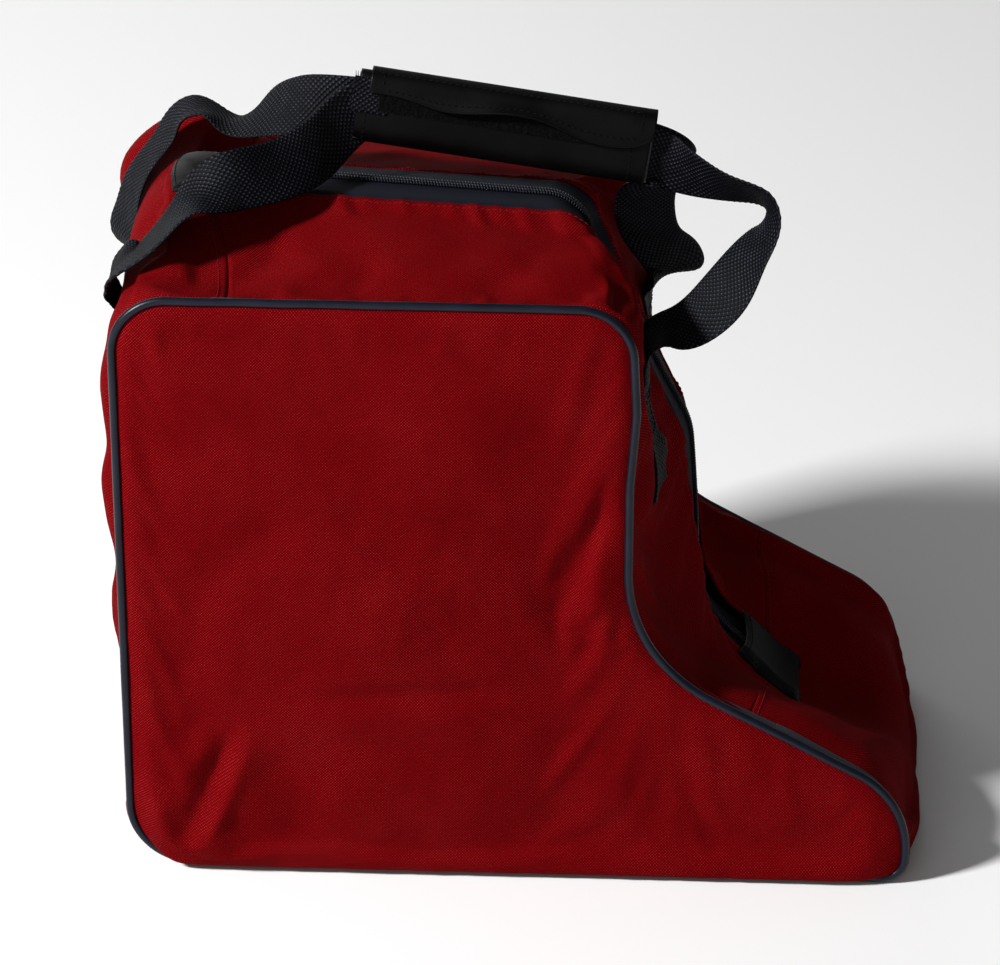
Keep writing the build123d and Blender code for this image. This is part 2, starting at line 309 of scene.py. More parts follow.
def lattice(tree, u, v, pitch_u, pitch_v):
    """Woven lattice of raised floats, 0 to 1."""
    product = calc(tree, "MULTIPLY", wave(tree, u, pitch_u), wave(tree, v, pitch_v))
    return calc(tree, "MULTIPLY_ADD", product, 0.5, 0.5)


def red_fabric():
    """Red woven polyester: a fine diagonal lattice, bright flecks that are painted glints on the yarn floats,
    slight colour drift.
    """
    material, tree, shader = start_material(
        "red_polyester", Roughness=0.8, Specular_IOR_Level=0.015,
        Sheen_Weight=0.03, Sheen_Roughness=0.4, Sheen_Tint=(1.0, 0.02, 0.03, 1))
    uv, u, v = cloth_coordinates(tree)
    weave = lattice(tree, u, v, 1.5, 1.5)
    yarn = noise(tree, uv, 1.1, 3, 0.65)
    mix = calc(tree, "MULTIPLY_ADD", noise(tree, uv, 0.022, 4), 0.18, calc(tree, "MULTIPLY", weave, 0.62))
    mix = calc(tree, "MULTIPLY_ADD", yarn, 0.46, mix)
    # the top stop paints glints of light where the weave's floats and the yarn noise peak; the lower stops
    # are the cloth's own red
    add_colour(tree, shader, mix, [(0.25, (0.042, 0.0001, 0.0006)), (0.6, (0.098, 0.0002, 0.0012)),
                                   (0.85, (0.150, 0.0006, 0.0020)), (1.0, (0.42, 0.035, 0.035))])
    add_bump(tree, shader, weave, 0.4, 0.0004)
    add_bump(tree, shader, yarn, 0.25, 0.0003)
    return material


def webbing_fabric():
    """Dark navy webbing: coarse floats, the highest of them lighter with a painted highlight."""
    material, tree, shader = start_material("navy_webbing", Roughness=0.6, Specular_IOR_Level=0.1)
    uv, u, v = cloth_coordinates(tree)
    weave = lattice(tree, u, v, WEAVE_ALONG, WEAVE_ACROSS)
    drift = calc(tree, "MULTIPLY_ADD", noise(tree, uv, 0.12), 0.5, 0.72)
    top = calc(tree, "MULTIPLY", weave, drift)
    # the light top stop paints a highlight on the highest floats; the darker stops are the webbing's own navy
    add_colour(tree, shader, top, [(0.3, (0.0004, 0.0005, 0.0012)), (0.76, (0.0016, 0.0019, 0.004)),
                                   (0.97, (0.038, 0.041, 0.058))])
    add_bump(tree, shader, weave, 0.8, 0.0006)
    add_bump(tree, shader, noise(tree, uv, 2.2), 0.4, 0.0003)
    return material


def tape_fabric():
    """Zip tape: tight dark navy herringbone."""
    material, tree, shader = start_material("zip_tape_weave", Roughness=0.7, Specular_IOR_Level=0.1)
    _, u, v = cloth_coordinates(tree)
    slant = calc(tree, "ADD", u, calc(tree, "PINGPONG", v, 2.2))
    height = calc(tree, "MULTIPLY_ADD", wave(tree, slant, 1.1), 0.5, 0.5)
    add_colour(tree, shader, height, [(0.2, (0.0015, 0.0018, 0.004)), (0.95, (0.010, 0.012, 0.022))])
    add_bump(tree, shader, height, 0.6, 0.0003)
    return material


def pebbles(tree, vector):
    """Fine cells of leatherette grain."""
    cells = tree.nodes.new("ShaderNodeTexVoronoi")
    cells.inputs["Scale"].default_value = 1400
    tree.links.new(vector, cells.inputs["Vector"])
    return cells.outputs[0]


def orange_peel(tree, vector):
    """Slight unevenness of extruded vinyl."""
    return noise(tree, vector, 500, 2)


def grained(name, scale, detail, stops, bumps=(), rough=None, contrast=0.55, **sockets):
    """Material coloured by a noise in the piece's own space.

    bumps are (texture, strength, distance), where None stands for the noise itself;
    rough holds the factor and offset of a roughness that follows the noise.
    """
    material, tree, shader = start_material(name, **sockets)
    vector = tree.nodes.new("ShaderNodeTexCoord").outputs["Object"]
    grain = noise(tree, vector, scale, detail, contrast)
    add_colour(tree, shader, grain, stops)
    if rough:
        tree.links.new(calc(tree, "MULTIPLY_ADD", grain, *rough), shader.inputs["Roughness"])
    for texture, strength, distance in bumps:
        add_bump(tree, shader, texture(tree, vector) if texture else grain, strength, distance)
    return material


def thread(name, colour):
    """Twisted sewing thread."""
    stops = [(0.3, [c * 0.6 for c in colour]), (0.8, colour)]
    return grained(name, 2500, 2, stops, [(None, 0.4, 0.0002)], Roughness=0.7, Specular_IOR_Level=0.08)


def inner_material(name, dark, light, scale):
    """Plain material of the pieces that hardly show."""
    return grained(name, scale, 4, [(0.3, dark), (0.75, light)], [(None, 0.4, 0.0004)], Roughness=0.85)


WEAVE_ALONG = 3.0
WEAVE_ACROSS = 2.8
RED = red_fabric()
WEBBING = webbing_fabric()
TAPE = tape_fabric()
VINYL = grained(
    "black_leatherette", 45, 4, [(0.3, (0.0008, 0.0008, 0.0009)), (0.75, (0.0026, 0.0026, 0.0028))],
    [(pebbles, 0.35, 0.0002), (None, 0.15, 0.002)], rough=(0.25, 0.34), Specular_IOR_Level=0.08)
PIPING = grained(
    "navy_piping", 60, 3, [(0.3, (0.0022, 0.003, 0.008)), (0.8, (0.006, 0.008, 0.018))],
    [(orange_peel, 0.12, 0.0004)], Roughness=0.35, Specular_IOR_Level=0.2, Coat_Weight=0.05,
    Coat_Roughness=0.25)
NAP = grained(
    "hook_and_loop_nap", 1800, 5, [(0.35, (0.0008, 0.0008, 0.0008)), (0.75, (0.005, 0.005, 0.005))],
    [(None, 0.9, 0.0008)], contrast=0.7, Roughness=0.95, Specular_IOR_Level=0.03, Sheen_Weight=0.02)
RED_THREAD = thread("red_thread", (0.22, 0.004, 0.008))
DARK_THREAD = thread("navy_thread", (0.008, 0.009, 0.017))
BLACK_THREAD = thread("black_thread", (0.003, 0.003, 0.0034))
NYLON = grained(
    "zip_coil_nylon", 300, 2, [(0.3, (0.006, 0.007, 0.012)), (0.8, (0.016, 0.018, 0.03))],
    Roughness=0.4, Specular_IOR_Level=0.18)
ENAMEL = grained(
    "black_enamel", 350, 4, [(0.45, (0.012, 0.012, 0.013)), (0.85, (0.05, 0.05, 0.052))],
    [(None, 0.1, 0.0002)], rough=(0.3, 0.22), Metallic=0.4)
BOARD = inner_material("stiffener_board", (0.03, 0.03, 0.032), (0.06, 0.06, 0.062), 90)
FOAM = inner_material("dark_foam", (0.02, 0.02, 0.02), (0.07, 0.07, 0.07), 900)
BINDING = inner_material("binding_tape", (0.012, 0.012, 0.02), (0.03, 0.03, 0.045), 1200)


# ---------------------------------------------------------------- mesh helpers
def make_object(name, vertices, faces, material, uv=None, body="bag", replaced=()):
    """Piece from vertices in millimetres; its slot follows from its material."""
    mesh = bpy.data.meshes.new(name)
    vertices = np.asarray(vertices, float).reshape(-1, 3) * MM
    mesh.from_pydata(vertices.tolist(), [], [tuple(int(i) for i in f) for f in faces])
    if uv is not None:
        layer = mesh.uv_layers.new(name="millimetres")
        loops = np.zeros(len(mesh.loops), np.int32)
        mesh.loops.foreach_get("vertex_index", loops)
        layer.data.foreach_set("uv", np.asarray(uv, float).reshape(-1, 2)[loops].ravel())
    mesh.polygons.foreach_set("use_smooth", [True] * len(mesh.polygons))
    mesh.materials.append(material)
    mesh.update()
    piece = bpy.data.objects.new(name, mesh)
    bpy.context.scene.collection.objects.link(piece)
    if body:
        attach(piece, body)
    if replaced:
        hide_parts(*replaced)
    return piece


def grid_faces(rows, columns, wrap_rows=False, wrap_columns=False, flip=False):
    """Quads of a grid, closed either way round."""
    i = np.arange(rows if wrap_rows else rows - 1)
    j = np.arange(columns if wrap_columns else columns - 1)
    ii, jj = np.meshgrid(i, j, indexing="ij")
    a = ii * columns + jj
    b = ii * columns + (jj + 1) % columns
    c = ((ii + 1) % rows) * columns + (jj + 1) % columns
    d = ((ii + 1) % rows) * columns + jj
    order = (a, d, c, b) if flip else (a, b, c, d)
    return np.stack(order, -1).reshape(-1, 4)


def grid_normals(points, wrap_rows=False):
    """Unit normals of a grid of points."""
    if wrap_rows:
        along = np.roll(points, -1, 0) - np.roll(points, 1, 0)
    else:
        along = np.gradient(points, axis=0)
    across = np.gradient(points, axis=1)
    return unit(np.cross(along, across))


def sheet_solid(name, points, uv, thickness, material, body="bag", replaced=(), flip=False):
    """Closed thin solid on a grid: the outer face is the grid, the inner lies thickness below."""
    rows, columns = points.shape[:2]
    inner = points - grid_normals(points) * (thickness if flip else -thickness)
    offset = rows * columns
    outer_faces = grid_faces(rows, columns, flip=flip)
    inner_faces = grid_faces(rows, columns, flip=not flip) + offset
    index = np.arange(offset).reshape(rows, columns)
    border = np.concatenate([index[0, :], index[1:, -1], index[-1, -2::-1], index[-2:0:-1, 0]])
    after = np.roll(border, -1)
    rim = np.stack([border, border + offset, after + offset, after], 1)
    if flip:
        rim = rim[:, ::-1]
    faces = np.concatenate([outer_faces, inner_faces, rim])
    vertices = np.concatenate([points.reshape(-1, 3), inner.reshape(-1, 3)])
    return make_object(name, vertices, faces, material, np.concatenate([uv, uv]), body, replaced)


def tube(path, radius, sides=10, closed=False, up=(0, 1, 0)):
    """Vertices and faces of a round tube along a path; open ends are capped."""
    path = np.asarray(path, float)
    if closed:
        tangent = unit(np.roll(path, -1, 0) - np.roll(path, 1, 0))
    else:
        tangent = unit(np.gradient(path, axis=0))
    side = np.zeros_like(path)
    side[0] = unit(up - (up @ tangent[0]) * tangent[0])
    for i in range(1, len(path)):
        side[i] = unit(side[i - 1] - (side[i - 1] @ tangent[i]) * tangent[i])
    square = np.cross(tangent, side)
    angles = np.linspace(0, 2 * math.pi, sides, endpoint=False)
    radii = np.broadcast_to(np.asarray(radius, float), (len(path),))
    loop = np.cos(angles)[None, :, None] * side[:, None] + np.sin(angles)[None, :, None] * square[:, None]
    vertices = (path[:, None] + loop * radii[:, None, None]).reshape(-1, 3)
    faces = grid_faces(len(path), sides, wrap_rows=closed, wrap_columns=True).tolist()
    if not closed:
        faces.append(list(range(sides - 1, -1, -1)))
        last = (len(path) - 1) * sides
        faces.append([last + i for i in range(sides)])
    return vertices, faces


class Pile:
    """Collects many small meshes into one piece."""

    def __init__(self):
        self.vertices = []
        self.faces = []
        self.count = 0

    def add(self, vertices, faces):
        """Add one mesh."""
        self.vertices.append(vertices)
        self.faces.extend([[i + self.count for i in f] for f in faces])
        self.count += len(vertices)

    def build(self, name, material, body="bag", replaced=()):
        """Make the piece."""
        make_object(name, np.concatenate(self.vertices), self.faces, material, None, body, replaced)


def stitch_row(pile, path, normals, pitch=3.2, length=2.3):
    """Run of stitches along a path that lies on a surface with these normals."""
    radius, lift, arch, dive = 0.28, 0.15, 0.12, 0.35
    along = distances(path)
    start = 0.5
    while start + length < along[-1]:
        points = []
        for fraction in (0, 0.25, 0.5, 0.75, 1):
            place = start + fraction * length
            height = lift + arch * math.sin(math.pi * fraction) - dive * (fraction in (0, 1))
            points.append(interpolate(place, along, path) + unit(interpolate(place, along, normals)) * height)
        pile.add(*tube(points, [radius * 0.6, radius, radius, radius, radius * 0.6], 6))
        start += pitch


def drape(points, faces, pinned, slack, pressure, cap):
    """Cloth simulation: the sewn points stay, the rest buckles and sags by at most cap millimetres."""
    frames = 16
    mesh = bpy.data.meshes.new("drape")
    mesh.from_pydata((points * MM).tolist(), [], [tuple(int(i) for i in f) for f in faces])
    mesh.update()
    cloth = bpy.data.objects.new("drape", mesh)
    bpy.context.scene.collection.objects.link(cloth)
    group = cloth.vertex_groups.new(name="sewn")
    group.add([int(i) for i in np.flatnonzero(pinned)], 1.0, "REPLACE")
    modifier = cloth.modifiers.new("cloth", "CLOTH")
    settings = modifier.settings
    settings.quality = 6
    settings.mass = 0.2
    settings.tension_stiffness = 30
    settings.compression_stiffness = 30
    settings.shear_stiffness = 15
    settings.bending_stiffness = 1.2
    settings.vertex_group_mass = "sewn"
    settings.shrink_min = -slack
    settings.use_pressure = True
    settings.uniform_pressure_force = pressure
    modifier.collision_settings.use_collision = False
    modifier.point_cache.frame_end = frames
    for frame in range(1, frames + 1):
        bpy.context.scene.frame_set(frame)
    settled = cloth.evaluated_get(bpy.context.evaluated_depsgraph_get()).to_mesh()
    moved = np.zeros(len(points) * 3)
    settled.vertices.foreach_get("co", moved)
    moved = moved.reshape(-1, 3) / MM
    bpy.data.objects.remove(cloth)
    bpy.data.meshes.remove(mesh)
    bpy.context.scene.frame_set(1)
    shift = moved - points
    size = np.linalg.norm(shift, axis=1, keepdims=True)
    return points + shift * np.minimum(1, cap / np.maximum(size, 1e-9))


# ---------------------------------------------------------------- gusset
seam_ring = ring(SEAM, SEAM_R)
mid_ring = ring(MID, MID_R)
crown_ring = ring(CROWN, CROWN_R)
RING_COUNT = len(seam_ring)
KNOT_Y = [-SEAM_Y, -MID_Y, -BAND_Y, BAND_Y, MID_Y, SEAM_Y]
RING_U = distances(seam_ring)

# Folds of the gusset: start, end, height (negative is a hollow), width
GUSSET_FOLDS = [
    ((-150, -100, 319), (-115, -48, 334), -3.5, 9),
    ((-120, -104, 319), (-95, -60, 331), 2.0, 10),
    ((-85, -100, 320), (-72, -70, 328), -2.0, 7),
    ((-20, -100, 319), (10, -58, 331), -2.2, 10),
    ((22, -104, 316), (50, -60, 318), -3.0, 9),
    ((40, -104, 310), (64, -70, 300), 2.0, 8),
    ((57, -84, 262), (60, -80, 185), 5.5, 11),
    ((58, -92, 165), (78, -66, 120), 2.6, 8),
    ((60, -76, 190), (80, -62, 145), -2.4, 8),
    ((90, -30, 168), (116, -30, 94), 4.5, 7),
    ((96, 30, 130), (118, 30, 92), -3.0, 9),
    ((90, -88, 108), (180, -84, 62), 2.5, 12),
    ((120, -44, 92), (190, -30, 60), -3.0, 13),
    ((110, 60, 98), (185, 70, 66), 2.5, 20),
    ((80, 99, 118), (208, 99, 40), 10.0, 12),
    ((56, 52, 312), (66, 52, 205), -6.0, 24),
    ((-205, -60, 262), (-208, -20, 255), -2.0, 10),
    ((-206, -87, 302), (-207, -87, 108), 10.5, 21),
    ((-204, -100, 215), (-207, -40, 205), 3.0, 18),
    ((-204, -100, 165), (-207, -40, 160), -3.5, 14),
    ((-204, -100, 110), (-207, -30, 100), 3.0, 20),
    ((-216, 92, 292), (-150, 68, 342), 22.0, 28),
    ((-110, 100, 322), (-70, 66, 332), 4.0, 22),
    ((20, 100, 317), (45, 60, 320), -2.5, 10),
]


def outward_normals(grid):
    """Unit normals of the gusset's grid, pointing out of the bag."""
    normals = grid_normals(grid, wrap_rows=True)
    inside = np.array([-60.0, 0, 150.0])
    if np.mean(np.einsum("uvk,uvk->uv", normals, grid - inside)) < 0:
        normals = -normals
    return normals


def shaped_gusset(y_values):
    """Grid of points on the gusset with its given sag and folds."""
    weights = spline_weights(KNOT_Y, y_values)
    controls = np.stack([seam_ring, mid_ring, crown_ring, crown_ring, mid_ring, seam_ring], 1)
    plane = np.einsum("uky,vk->uvy", controls, weights)
    points = np.zeros((RING_COUNT, len(y_values), 3))
    points[..., 0] = plane[..., 0]
    points[..., 2] = plane[..., 1]
    points[..., 1] = y_values
    normals = outward_normals(points)
    to_seam = SEAM_Y - np.abs(y_values)
    to_zip = (np.abs(y_values) - BAND_Y).clip(0)
    loose = (1 - bell(to_seam, 14)) * (1 - bell(to_zip, 10))
    height = 1.2 * ripple(points, 75, 11) * loose + 0.5 * ripple(points, 30, 12) * loose
    pucker = ripple(points * np.array([1, 0.15, 1]), 17, 13)
    height += 0.5 * pucker * bell(to_seam, 9) * ease(to_seam, 1.5)
    height += fold_height(points, GUSSET_FOLDS) * (1 - bell(to_seam, 8))
    height += 3.6 * (ease(to_seam, 2.5) * np.exp(-to_seam / 22))
    height = np.where(to_seam < 4, np.maximum(height, 0), height)
    ground = np.clip(points[..., 2] / 25, 0, 1)
    points = points + normals * (height * ground)[..., None]
    points[..., 2] = np.maximum(points[..., 2], 0.0)
    return points


GRID_Y = np.linspace(-SEAM_Y, SEAM_Y, 110)
gusset_grid = shaped_gusset(GRID_Y)


def draped_gusset(grid):
    """The gusset's grid after a cloth simulation on every third row and second column."""
    rows = np.arange(0, RING_COUNT, 3)
    columns = np.unique(np.append(np.arange(0, len(GRID_Y), 2), len(GRID_Y) - 1))
    coarse = grid[np.ix_(rows, columns)]
    y = GRID_Y[columns][None, :]
    on_base = coarse[..., 2] < 1.5
    zipped = (np.abs(y) < BAND_Y + 1) & ((rows > TOP_CUT - 12) & (rows < TOE_CUT + 12))[:, None]
    pinned = on_base | zipped | (np.abs(y) > SEAM_Y - 2.5)
    faces = grid_faces(len(rows), len(columns), wrap_rows=True, flip=True)
    settled = drape(coarse.reshape(-1, 3), faces, pinned.ravel(), 0.016, 0.6, 5.0)
    shift = settled.reshape(coarse.shape) - coarse
    shift = np.concatenate([shift, shift[:1]])
    at_rows = np.append(rows, RING_COUNT)
    full = interpolate(np.arange(RING_COUNT), at_rows, shift.reshape(len(at_rows), -1))
    full = full.reshape(RING_COUNT, len(columns), 3)
    out = grid + np.stack([interpolate(np.arange(len(GRID_Y)), columns, row) for row in full])
    out[..., 2] = np.maximum(out[..., 2], 0.0)
    return out


def gusset_points(u_index, y_values):
    """Points and outward normals on the finished gusset at some ring indices and widths."""
    place = np.interp(y_values, GRID_Y, np.arange(len(GRID_Y)))
    left = np.clip(np.floor(place).astype(int), 0, len(GRID_Y) - 2)
    part = (place - left)[None, :, None]
    picked = []
    for grid in (gusset_grid, gusset_normals):
        rows = grid[u_index]
        picked.append(rows[:, left] * (1 - part) + rows[:, left + 1] * part)
    return picked[0], unit(picked[1])


def ring_index(corner_from, corner_to, x, outline=crown_ring):
    """Index on the ring, among the stretches of some corners, nearest an x."""
    first = sum(STRETCH_POINTS[:corner_from])
    last = sum(STRETCH_POINTS[:corner_to])
    return first + int(np.argmin(np.abs(outline[first:last, 0] - x)))


TOP_CUT = ring_index(1, 2, ZIP_BACK_X)
TOE_CUT = ring_index(5, 7, ZIP_TOE_X)
BASE_FRONT_CUT = ring_index(8, 9, BASE_FRONT_X, seam_ring)
BASE_BACK_CUT = ring_index(0, 1, BASE_BACK_X, seam_ring)
gusset_grid = draped_gusset(gusset_grid)
gusset_normals = outward_normals(gusset_grid)
FABRIC = 1.4


def gusset_piece(name, first, last, y_values, replaced):
    """One sewn piece of the gusset as a thin closed solid."""
    index = np.arange(first, last + 1) % RING_COUNT
    points, _ = gusset_points(index, y_values)
    u = RING_U[index]
    u = np.where(np.diff(u, prepend=u[0]) < -50, u + RING_U[-1], u)
    uv = grid_uv(np.maximum.accumulate(u), y_values)
    sheet_solid(name, points, uv, FABRIC, RED, replaced=[replaced], flip=True)


full_y = np.linspace(-SEAM_Y, SEAM_Y, 90)
near_y = np.linspace(-SEAM_Y, -BAND_Y, 40)
gusset_piece("gusset_back", BASE_BACK_CUT, TOP_CUT, full_y, "back_gusset")
gusset_piece("gusset_toe", TOE_CUT, BASE_FRONT_CUT, full_y, "toe_gusset")
gusset_piece("gusset_base", BASE_FRONT_CUT, BASE_BACK_CUT + RING_COUNT, full_y, "base_panel")
gusset_piece("gusset_zip_near", TOP_CUT, TOE_CUT, near_y, "zip_gusset_near")
gusset_piece("gusset_zip_far", TOP_CUT, TOE_CUT, -near_y[::-1], "zip_gusset_far")


# ---------------------------------------------------------------- side panels and piping
def distance_to_ring(points, outline):
    """Distance of (x, z) points from a closed outline."""
    best = np.full(len(points), 1e9)
    for a, b in zip(outline, np.roll(outline, -1, 0)):
        line = b - a
        along = np.clip(((points - a) @ line) / max(line @ line, 1e-9), 0, 1)
        best = np.minimum(best, np.linalg.norm(points - a - along[:, None] * line, axis=1))
    return best


PANEL_FOLDS = [
    ((-141, 0, 88), (-176, 0, 12), -5.0, 6.5),
    ((-136, 0, 84), (-164, 0, 10), 3.8, 7),
    ((-192, 0, 66), (-181, 0, 10), 2.4, 6),
    ((-158, 0, 80), (-186, 0, 30), 2.2, 7),
    ((-188, 0, 96), (-146, 0, 84), -2.2, 9),
    ((-128, 0, 70), (-104, 0, 26), -2.0, 12),
    ((-100, 0, 60), (-60, 0, 20), 1.8, 16),
    ((-112, 0, 208), (-160, 0, 164), -2.4, 13),
    ((-160, 0, 178), (-168, 0, 108), -2.4, 12),
    ((-92, 0, 212), (-52, 0, 186), -1.8, 12),
    ((-50, 0, 180), (-70, 0, 120), 1.6, 18),
    ((-105, 0, 105), (-5, 0, 109), -2.4, 6),
    ((-105, 0, 92), (0, 0, 96), 1.6, 11),
    ((46, 0, 218), (12, 0, 162), -4.4, 10),
    ((12, 0, 166), (40, 0, 124), -4.0, 10),
    ((40, 0, 196), (40, 0, 150), 3.4, 8),
    ((40, 0, 152), (66, 0, 126), 3.0, 9),
    ((36, 0, 152), (58, 0, 148), -1.8, 4),
    ((55, 0, 100), (46, 0, 26), 2.2, 15),
    ((18, 0, 90), (22, 0, 26), -2.2, 13),
    ((84, 0, 66), (150, 0, 34), 2.4, 15),
    ((64, 0, 60), (110, 0, 18), -2.0, 12),
    ((-190, 0, 290), (-150, 0, 250), 1.2, 14),
    ((-40, 0, 300), (30, 0, 270), -1.0, 20),
]
PANEL_SPACING = 3.4
EDGE_STEPS = (1.0, 2.2, 3.6, 5.4)


def inset(outline, distance):
    """Outline moved inwards; it runs with the inside on its right."""
    along = unit(np.roll(outline, -1, 0) - np.roll(outline, 1, 0))
    return outline + np.stack([along[:, 1], -along[:, 0]], 1) * distance


def panel_mesh():
    """Triangle mesh of a side panel's L-shaped face, finer near its seam."""
    outline = ring([(x, max(z, PIPING_LIFT)) for x, z in SEAM], SEAM_R)
    border = inset(outline, PIPING_R * 0.5)
    rings = [border] + [inset(border, step) for step in EDGE_STEPS]
    xs = np.arange(-198, 198, PANEL_SPACING)
    zs = np.arange(4, 317, PANEL_SPACING * math.sqrt(3) / 2)
    points = np.array([(x + PANEL_SPACING / 2 * (row % 2), z) for row, z in enumerate(zs) for x in xs])
    inside = points[distance_to_ring(points, border) > EDGE_STEPS[-1] + PANEL_SPACING * 0.5]
    points = [Vector(p) for p in np.concatenate(rings + [inside])]
    edges = [(i, (i + 1) % len(border)) for i in range(len(border))]
    found = delaunay_2d_cdt(points, edges, [], 1, 1e-5)
    return np.array([tuple(v) for v in found[0]]), found[2], outline


flat_panel, panel_faces, panel_outline = panel_mesh()
panel_edge = (distance_to_ring(flat_panel, panel_outline) - PIPING_R * 0.5).clip(0)
panel_x, panel_z = flat_panel.T
panel_ends = logistic(panel_x + 192, 2.5) * logistic(186 - panel_x, 5)
panel_droop = 3.2 * bell(panel_z, 14) * panel_ends * ease(panel_edge, 0.8) * bell(panel_edge - 2, 6)


def panel_height(seed):
    """How far a side panel stands out beyond its seam plane."""
    points = np.stack([panel_x, np.zeros(len(panel_x)), panel_z], 1)
    base = bell(panel_z, 16) * panel_ends
    rise = ease(panel_edge, 5.0)
    full = logistic(2 - panel_x, 17)
    height = 2.6 * rise + 2.5 * ease(panel_edge, 45.0) + 8.5 * full * ease(panel_edge, 26)
    height += 2.2 * bell(panel_z - 48, 42) * panel_ends * ease(panel_edge, 22)
    height += base * 7.5 * ease(panel_edge, 1.3) - base * 1.5 * rise
    height += 2.5 * bell(panel_z - 20, 40) * panel_ends * ease(panel_edge, 10)
    loose = 1 - bell(panel_edge, 22)
    height += loose * (ripple(points, 120, seed) + 0.3 * ripple(points, 45, seed + 1))
    height += fold_height(points, PANEL_FOLDS) * (1 - bell(panel_edge, 9))
    height += 0.22 * ripple(points, 15, seed + 2) * bell(panel_edge - 6, 5)
    height += 0.16 * ripple(points, 9, seed + 3, 24) * rise
    return height


for side, label, seed in ((-1, "near", 31), (1, "far", 41)):
    outer = np.stack([panel_x, side * (PANEL_Y + panel_height(seed)), panel_z - panel_droop], 1)
    a, b, c = outer[list(panel_faces[0])]
    turned = np.cross(b - a, c - a)[1] * side < 0
    faces = [list(f)[::-1] if turned else list(f) for f in panel_faces]
    outer = drape(outer, faces, panel_edge < 6.0, 0.0015, 0.5, 4.0)
    depth = np.abs(outer[:, 1])
    inner = outer.copy()
    inner[:, 1] = side * np.minimum(depth - FABRIC, PANEL_Y + 0.6 * (depth - PANEL_Y))
    count = len(outer)
    back_faces = [[i + count for i in f[::-1]] for f in faces]
    edges = {(a, b): None for f in faces for a, b in zip(f, f[1:] + f[:1])}
    rim = [[b, a, a + count, b + count] for a, b in edges if (b, a) not in edges]
    make_object(f"panel_{label}", np.concatenate([outer, inner]), faces + back_faces + rim, RED,
                np.concatenate([flat_panel, flat_panel]), replaced=[f"side_panel_{label}"])

    path = np.insert(panel_outline, 1, side * (PANEL_Y + 0.4), axis=1)
    path[:, 1] += side * ripple(path, 40, seed + 5) * 0.25
    make_object(f"piping_bead_{label}", *tube(path, PIPING_R, 14, closed=True), PIPING,
                replaced=[f"piping_{label}"])


# ---------------------------------------------------------------- zipper
def ring_path(first, last, y, lift=0.0):
    """Points on the crown between two ring indices, with normals."""
    index = np.arange(first, last + 1)
    points, normals = gusset_points(index, np.array([y, y + 0.5]))
    return points[:, 0] + normals[:, 0] * lift, normals[:, 0]


def zip_sink(index):
    """How far the zip lies below its gusset edges: more in the throat, where they stand proud."""
    along = (np.asarray(index) - TOP_CUT) / (TOE_CUT - TOP_CUT)
    return -6.5 * np.exp(-((along - 0.81) / 0.16) ** 2)


COIL_PITCH = 1.5
for side, label in ((-1, "near"), (1, "far")):
    index = np.arange(TOP_CUT - 2, TOE_CUT + 2)
    y_values = np.linspace(side * 1.4, side * (BAND_Y + 1.0), 12)
    points, normals = gusset_points(index, y_values)
    drop = np.where(np.abs(y_values) > BAND_Y - 0.5, -1.6, -0.9)[None, :] + zip_sink(index)[:, None]
    points = points + normals * drop[..., None]
    sheet_solid(f"zip_tape_cloth_{label}", points, grid_uv(RING_U[index], y_values), 0.5, TAPE,
                replaced=[f"zip_tape_{label}"], flip=side > 0)

    centre, square = ring_path(TOP_CUT, TOE_CUT, side * 1.7, 0.1)
    centre = centre + square * zip_sink(np.arange(TOP_CUT, TOE_CUT + 1))[:, None]
    along = distances(centre)
    turns = int(along[-1] / COIL_PITCH)
    distance = np.linspace(0, turns * COIL_PITCH, turns * 8)
    phase = distance / COIL_PITCH * 2 * math.pi + (math.pi if side > 0 else 0)
    out = unit(interpolate(distance, along, square))
    helix = interpolate(distance, along, centre) + out * (np.sin(phase) * 0.85)[:, None]
    helix[:, 1] += np.cos(phase) * 1.5
    make_object(f"zip_coil_turns_{label}", *tube(helix, 0.38, 5), NYLON, replaced=[f"zip_coil_{label}"])

# topstitch along the folded gusset edges beside the zip, and where the gusset pieces join
top_stitches = Pile()
for side in (-1, 1):
    stitch_row(top_stitches, *ring_path(TOP_CUT, TOE_CUT, side * (BAND_Y + 2.5)))
for row in (TOP_CUT - 2, TOE_CUT + 2):
    points, normals = gusset_points(np.array([row]), np.linspace(-SEAM_Y + 3, SEAM_Y - 3, 80))
    stitch_row(top_stitches, points[0], normals[0])
top_stitches.build("gusset_topstitch", RED_THREAD)


# ---------------------------------------------------------------- zip end patches
def resample_grid(points, count):
    """Grid with a new number of rows."""
    flat = points.reshape(len(points), -1)
    flat = interpolate(np.linspace(0, 1, count), np.linspace(0, 1, len(points)), flat)
    return flat.reshape(count, *points.shape[1:])


def patch(name, first_x, last_x, corner_from, corner_to, replaced):
    """Vinyl patch that lies on the crown over a zip end."""
    half_width = 25.0
    ends = [ring_index(corner_from, corner_to, x) for x in (first_x, last_x)]
    y_values = np.linspace(-half_width, half_width, 34)
    points, normals = gusset_points(np.arange(min(ends), max(ends) + 1), y_values)
    points = resample_grid(points, 26)
    normals = resample_grid(normals, 26)
    rows = np.linspace(-1, 1, len(points))
    edge = np.minimum(1 - np.abs(rows)[:, None], (1 - np.abs(y_values / half_width))[None, :] * 2)
    points = points + normals * (1.3 * ease(edge, 0.12) + 0.5)[..., None]
    sheet_solid(name, points, grid_uv(rows * 15, y_values), 1.0, VINYL, replaced=[replaced], flip=True)
    stitches = Pile()
    there, back = slice(3, -3), slice(-4, 2, -1)
    for place in ((2, there), (there, -3), (-3, back), (back, 2)):
        stitch_row(stitches, points[place], normals[place])
    stitches.build(f"{name}_stitches", DARK_THREAD)

patch("zip_end_patch_back", -178, -151, 1, 2, "zip_patch_back")
patch("zip_end_patch_toe", 114, 147, 5, 7, "zip_patch_toe")


